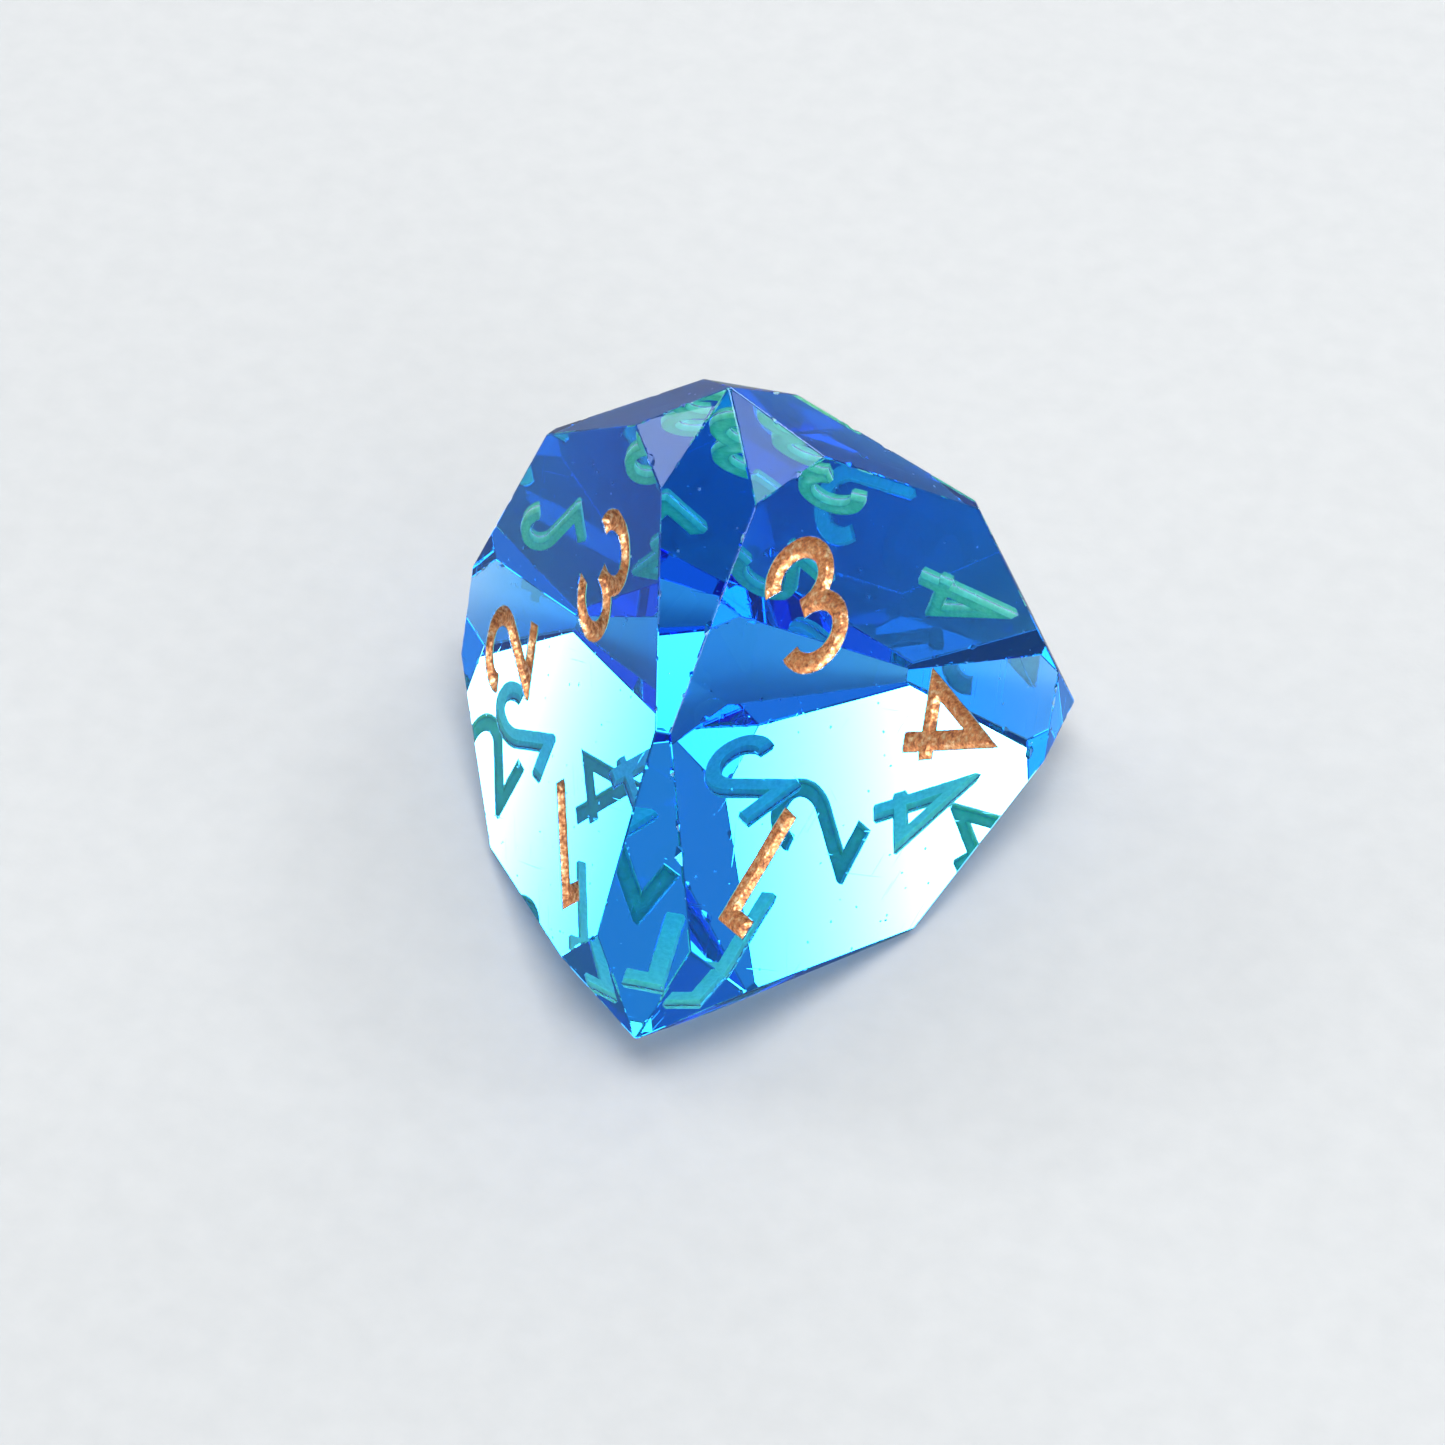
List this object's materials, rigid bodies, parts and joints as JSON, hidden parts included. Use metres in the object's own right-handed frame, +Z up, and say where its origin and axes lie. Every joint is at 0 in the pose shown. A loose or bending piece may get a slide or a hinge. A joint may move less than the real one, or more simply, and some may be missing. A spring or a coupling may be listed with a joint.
{
  "type": "polyhedral die",
  "caption": "Gem-cut four-sided die in clear blue glass, with engraved numerals filled with copper paint.",
  "frame": {"origin": "centre of the large face that the die rests on (the one without a 3)", "axes": "+Z up through the tip numbered 3, -Y towards the tip numbered 1; the tip numbered 4 is at azimuth 30 degrees and the tip numbered 2 at 150 degrees"},
  "size_m": [0.02, 0.0195, 0.018],
  "materials": {
    "blue_glass": "polished, transparent",
    "copper_paint": "mottled metallic paint, satin"
  },
  "bodies": {
    "root": {"glass_body": "blue_glass", "numeral_3_front_right": "copper_paint", "numeral_4_front_right": "copper_paint", "numeral_1_front_right": "copper_paint", "numeral_3_front_left": "copper_paint", "numeral_2_front_left": "copper_paint", "numeral_1_front_left": "copper_paint", "numeral_3_rear": "copper_paint", "numeral_2_rear": "copper_paint", "numeral_4_rear": "copper_paint", "numeral_1_base": "copper_paint", "numeral_2_base": "copper_paint", "numeral_4_base": "copper_paint"}
  },
  "joints": []
}
